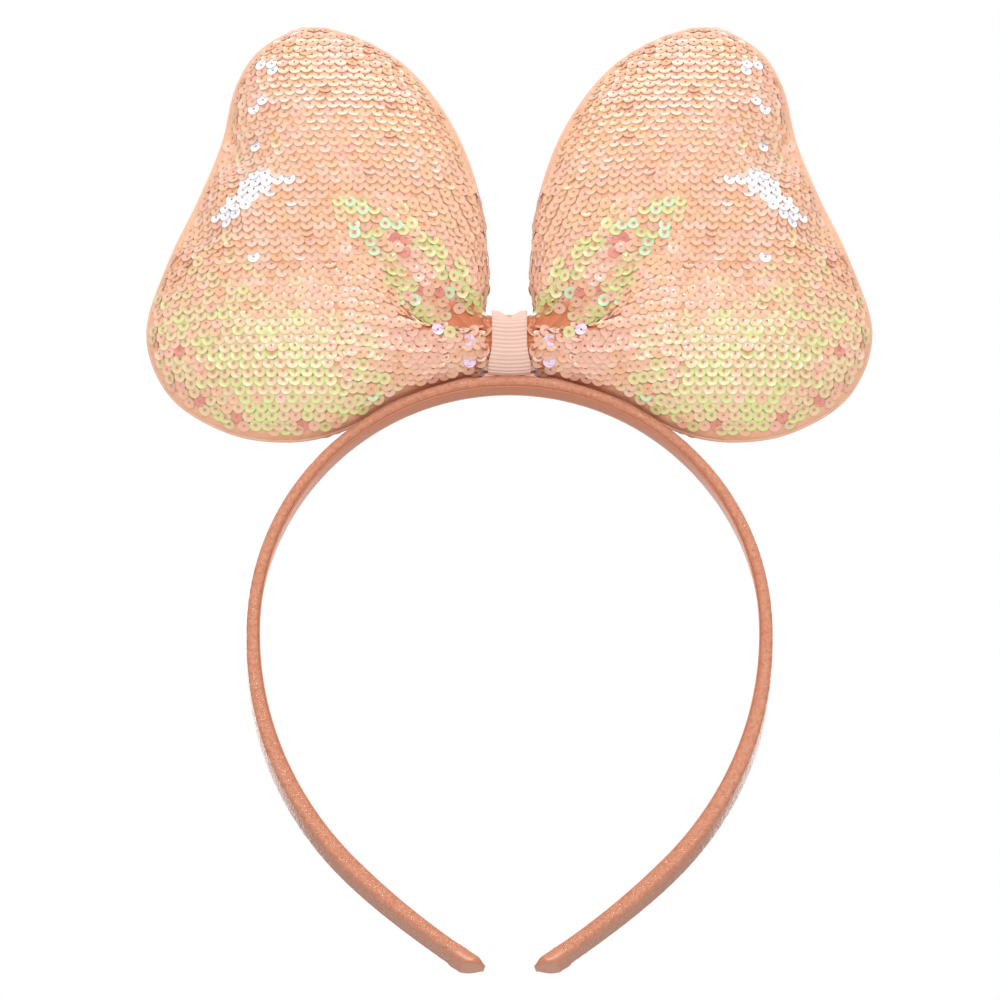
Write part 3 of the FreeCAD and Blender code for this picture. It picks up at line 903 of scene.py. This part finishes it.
def sequin_mesh(places, normals, rng, odds):
    """One mesh of cupped rings, hanging like scales, with a class for each ring."""
    turns = np.arange(SEQUIN_SIDES) / SEQUIN_SIDES * 2 * math.pi
    verts, faces, kinds = [], [], []
    bands = len(SEQUIN_RADII)
    for place, normal in zip(places, normals):
        down = np.array([0.0, 0.0, -1.0])
        down -= normal * (down @ normal)
        size = np.linalg.norm(down)
        if size < 0.15:
            down = np.array([0.0, np.sign(normal[1]) or 1.0, 0.0])
            down -= normal * (down @ normal)
            size = np.linalg.norm(down)
        down /= size
        inland = smoothstep(2.0, 9.0, abs(place[1]))
        tilt = math.radians(rng.normal(5.5, 2.2)) * inland
        if rng.random() < 0.04:
            tilt += math.radians(rng.uniform(8, 22)) * inland
        roll = rng.normal(0, 0.25)
        across = np.cross(normal, down)
        low = down * math.cos(roll) + across * math.sin(roll)
        face = math.cos(tilt) * normal - math.sin(tilt) * low
        hang = math.cos(tilt) * low + math.sin(tilt) * normal
        wobble = rng.normal(0, 0.045)
        face = face + wobble * across
        face /= np.linalg.norm(face)
        hang -= face * (hang @ face)
        hang /= np.linalg.norm(hang)
        other = np.cross(face, hang)
        centre = place + normal * (0.16 + 0.1 * inland + rng.uniform(0, 0.07))
        start = len(verts)
        for r, h in zip(SEQUIN_RADII, SEQUIN_HEIGHTS):
            for a in turns:
                verts.append(centre + r * (math.cos(a) * hang + math.sin(a) * other) + h * face)
        for band in range(bands - 1):
            for k in range(SEQUIN_SIDES):
                m = (k + 1) % SEQUIN_SIDES
                a, b = start + band * SEQUIN_SIDES, start + (band + 1) * SEQUIN_SIDES
                faces.append((a + k, b + k, b + m, a + m))
        chance = odds(place[0], place[2] + VIEW_SLOPE * abs(place[1]))
        weights = np.array([chance[name] for name in NAMES])
        kind = rng.choice(len(NAMES), p=weights / weights.sum())
        inner = len(NAMES) if NAMES[kind] in TWO_TONE else kind
        kinds += [inner] * SEQUIN_SIDES + [kind] * (SEQUIN_SIDES * (bands - 2))
    return np.array(verts), faces, kinds


def paint_knot_shade(mat, colour, near, far):
    """Paints shade into the material near the knot: a darker, streaked colour for the shade in the
    crease and between its pleats, between two distances in mm.
    """
    links = mat.node_tree.links
    shader = mat.node_tree.nodes["Principled BSDF"]
    plain = shader.inputs["Base Color"].links[0].from_socket
    knot = (KNOT[0] * MM, 0, (KNOT[1] - 4) * MM)
    # distance from the knot, the same on both sides
    place = new_node(mat, "ShaderNodeTexCoord")
    split = new_node(mat, "ShaderNodeSeparateXYZ")
    flip = new_node(mat, "ShaderNodeMath", operation="ABSOLUTE")
    join = new_node(mat, "ShaderNodeCombineXYZ")
    gap = new_node(mat, "ShaderNodeVectorMath", {1: knot}, operation="DISTANCE")
    reach = new_node(mat, "ShaderNodeMapRange", {"From Min": near * MM, "From Max": far * MM},
                     interpolation_type="SMOOTHSTEP")
    mix = new_node(mat, "ShaderNodeMix", {"A": linear(colour)}, data_type="RGBA")
    links.new(place.outputs["Object"], split.inputs["Vector"])
    links.new(split.outputs["X"], flip.inputs[0])
    links.new(flip.outputs[0], join.inputs["X"])
    links.new(split.outputs["Z"], join.inputs["Z"])
    links.new(join.outputs["Vector"], gap.inputs[0])
    links.new(gap.outputs["Value"], reach.inputs["Value"])
    links.new(reach.outputs["Result"], mix.inputs["Factor"])
    links.new(plain, mix.inputs["B"])
    # painted pleat shade: streaks that run out from the knot, noise over bearing and distance
    arm = new_node(mat, "ShaderNodeVectorMath", {1: knot}, operation="SUBTRACT")
    parts = new_node(mat, "ShaderNodeSeparateXYZ")
    bearing = new_node(mat, "ShaderNodeMath", operation="ARCTAN2")
    polar = new_node(mat, "ShaderNodeCombineXYZ")
    streak = new_node(mat, "ShaderNodeTexNoise", {"Scale": 14, "Detail": 2})
    shade = new_node(mat, "ShaderNodeMapRange",
                     {"From Min": 0.4, "From Max": 0.65, "To Min": 0.78, "To Max": 1.0})
    dim = new_node(mat, "ShaderNodeVectorMath", operation="SCALE")
    soften = new_node(mat, "ShaderNodeMix", data_type="RGBA")
    links.new(join.outputs["Vector"], arm.inputs[0])
    links.new(arm.outputs["Vector"], parts.inputs["Vector"])
    links.new(parts.outputs["Z"], bearing.inputs[0])
    links.new(parts.outputs["X"], bearing.inputs[1])
    links.new(bearing.outputs[0], polar.inputs["X"])
    links.new(gap.outputs["Value"], polar.inputs["Y"])
    links.new(polar.outputs["Vector"], streak.inputs["Vector"])
    links.new(streak.outputs["Fac"], shade.inputs["Value"])
    links.new(mix.outputs["Result"], dim.inputs[0])
    links.new(shade.outputs["Result"], dim.inputs["Scale"])
    links.new(reach.outputs["Result"], soften.inputs["Factor"])
    links.new(dim.outputs["Vector"], soften.inputs["A"])
    links.new(mix.outputs["Result"], soften.inputs["B"])
    links.new(soften.outputs["Result"], shader.inputs["Base Color"])


fabric = material("sequin_fabric", (242, 186, 150), 0.75, Sheen_Weight=0.2)
grain(fabric, 700, 0.35, 0.0002, light=(244, 190, 156), dark=(236, 178, 142))
# painted shade: the lobe fabric and the neck darken towards the knot, where the crease and the
# bunching shade them
paint_knot_shade(fabric, (228, 140, 98), 12, 30)
seam_fabric = material("seam_fabric", (232, 184, 156), 0.7, Sheen_Weight=0.3)
grain(seam_fabric, 1800, 0.5, 0.0002)
thread_mat = material("thread", (222, 160, 132), 0.6)
grain(thread_mat, 2500, 0.5, 0.0002)
glue_mat = material("glue", (214, 146, 112), 0.25, Coat_Weight=0.3)
grain(glue_mat, 500, 0.3, 0.0002, light=(218, 151, 117), dark=(208, 139, 105))

film = {"Coat_Weight": 0.35, "Coat_Roughness": 0.12}
sequin_mats = [
    material(f"sequin_{name}", rgb, 0.3, Specular_IOR_Level=0.6, **film)
    for name, rgb in CLASSES.items()
]
sequin_mats.append(material("sequin_inner", INNER_TONE, 0.3, **film))

lobe_verts, lobe_faces, lobe_edge = lobe_mesh()
tree = BVHTree.FromPolygons([Vector(v) for v in lobe_verts], lobe_faces)

sequins = {}
for face, side in (("front", -1), ("back", 1)):
    rng = np.random.default_rng(SEED + side)
    places, normals = choose_places(tree, side, rng)
    odds = chances if side < 0 else back_chances
    sequins[face] = sequin_mesh(places, normals, rng, odds)

for side in ("left", "right"):
    verts, faces = sided(side, lobe_verts, lobe_faces)
    lobe = mesh_piece(f"{side}_lobe_fabric", verts, faces, [fabric])
    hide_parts(f"{side}_lobe_front_panel", f"{side}_lobe_back_panel",
                f"{side}_lobe_filling")
    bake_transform(lobe)
    verts, faces = sided(side, *tube(seam_path(lobe_edge), SEAM_RADIUS))
    seam = mesh_piece(f"{side}_lobe_seam_bead", verts, faces, [seam_fabric])
    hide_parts(f"{side}_lobe_seam")
    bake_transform(seam)
    for face in ("front", "back"):
        ring_verts, ring_faces, kinds = sequins[face]
        verts, faces = sided(side, ring_verts, ring_faces)
        rings = mesh_piece(f"{side}_{face}_sequins", verts, faces, sequin_mats, kinds)
        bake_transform(rings)


NECK_HALF_LENGTH = 5.8
NECK_MIDDLE, NECK_HALF_DEPTH, NECK_HALF_HEIGHT = 71.9, 6.7, 6.5


def neck():
    """The bunched fabric inside the ribbon: a short tube with deep pleats."""
    turns = np.linspace(0, 2 * math.pi, 180, endpoint=False)
    verts, faces = [], []
    stations = np.linspace(-NECK_HALF_LENGTH, NECK_HALF_LENGTH, 13)
    for x in stations:
        waist = 1 - 0.07 * math.exp(-(x / 1.4) ** 2)
        for a in turns:
            pleat = 1 + 0.05 * math.sin(20 * a) + 0.02 * math.sin(33 * a + 1)
            verts.append((x, NECK_HALF_DEPTH * waist * pleat * math.cos(a),
                          NECK_MIDDLE + NECK_HALF_HEIGHT * waist * pleat * math.sin(a)))
    n = len(turns)
    for j in range(len(stations) - 1):
        for i in range(n):
            k = (i + 1) % n
            faces.append((j * n + i, (j + 1) * n + i, (j + 1) * n + k, j * n + k))
    faces.append(tuple(range(n)))
    faces.append(tuple((len(stations) - 1) * n + i for i in reversed(range(n))))
    return np.array(verts), mirror_faces(faces)


bunch = mesh_piece("gathered_neck_pleats", *neck(), [fabric])
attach(bunch, "crown")
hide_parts("gathered_neck")

for node, mat in (("gathering_thread", thread_mat), ("glue_pad", glue_mat)):
    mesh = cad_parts[node].data
    mesh.materials.clear()
    mesh.materials.append(mat)


# ---------------------------------------------------------------- stage, light and camera

FLOOR_HALF_WIDTH, FLOOR_HEIGHT = 8, -0.5
LIGHTS = [   # name, place, aim, width and height, watts
    ("key", (-0.35, -1.3, 0.2), (0, 0, 0.06), (0.8, 0.8), 3.0),
    ("fill", (0.35, -1.3, 0.2), (0, 0, 0.06), (0.8, 0.8), 3.0),
    ("left_spark", (-0.2, -1.2, 0.26), (0, 0, 0.04), (0.06, 0.06), 1.6),
    ("right_spark", (0.2, -1.2, 0.26), (0, 0, 0.04), (0.06, 0.06), 1.6),
    ("left_side", (-1.1, -0.45, 0.4), (0, 0, 0.1), (0.5, 0.8), 2.0),
    ("right_side", (1.1, -0.45, 0.4), (0, 0, 0.1), (0.5, 0.8), 2.0),
    ("top", (0.0, -0.3, 0.9), (0, 0, 0.05), (0.9, 0.1), 3.8),
    ("rear", (0.0, 0.9, 0.4), (0, 0, 0.05), (0.9, 0.9), 4),
]


def area_light(name, place, aim, size, watts):
    """A soft rectangular light at a place, turned towards its aim."""
    light = bpy.data.lights.new(name, "AREA")
    light.shape = "RECTANGLE"
    light.size, light.size_y = size
    light.energy = watts
    lamp = bpy.data.objects.new(name, light)
    lamp.location = place
    lamp.rotation_euler = (Vector(aim) - Vector(place)).to_track_quat("-Z", "Y").to_euler()
    bpy.context.scene.collection.objects.link(lamp)


floor_mesh = bpy.data.meshes.new("floor")
corners = [
    (x * FLOOR_HALF_WIDTH, y * FLOOR_HALF_WIDTH, FLOOR_HEIGHT)
    for x, y in ((-1, -1), (1, -1), (1, 1), (-1, 1))
]
floor_mesh.from_pydata(corners, [], [(0, 1, 2, 3)])
floor_mesh.materials.append(material("floor_paper", (238, 236, 234), 0.9))
floor = bpy.data.objects.new("floor", floor_mesh)
bpy.context.scene.collection.objects.link(floor)
floor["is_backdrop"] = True

for light in LIGHTS:
    area_light(*light)

# the backdrop shows plain white, and lights the object more softly than that
world = bpy.data.worlds.new("studio")
world.use_nodes = True
nodes, links = world.node_tree.nodes, world.node_tree.links
backdrop = nodes["Background"]
backdrop.inputs["Color"].default_value = (1, 1, 1, 1)
backdrop.inputs["Strength"].default_value = 1.0
ambient = nodes.new("ShaderNodeBackground")
ambient.inputs["Color"].default_value = (1.0, 0.985, 0.97, 1)
ambient.inputs["Strength"].default_value = 0.47
rays = nodes.new("ShaderNodeLightPath")
mix = nodes.new("ShaderNodeMixShader")
links.new(rays.outputs["Is Camera Ray"], mix.inputs["Fac"])
links.new(ambient.outputs["Background"], mix.inputs[1])
links.new(backdrop.outputs["Background"], mix.inputs[2])
links.new(mix.outputs["Shader"], nodes["World Output"].inputs["Surface"])
bpy.context.scene.world = world

camera_data = bpy.data.cameras.new("camera")
camera_data.lens = 148.14
camera_data.sensor_width = 36
camera = bpy.data.objects.new("camera", camera_data)
camera.location = (-0.0023, -0.9703, -0.2090)
aim = Vector((-0.0023, 0, 0.0329))
camera.rotation_euler = (aim - camera.location).to_track_quat("-Z", "Y").to_euler()
bpy.context.scene.collection.objects.link(camera)
bpy.context.scene.camera = camera
bpy.context.scene.view_settings.view_transform = "Standard"

corners = {"cad": cad_box, "visual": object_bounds()}
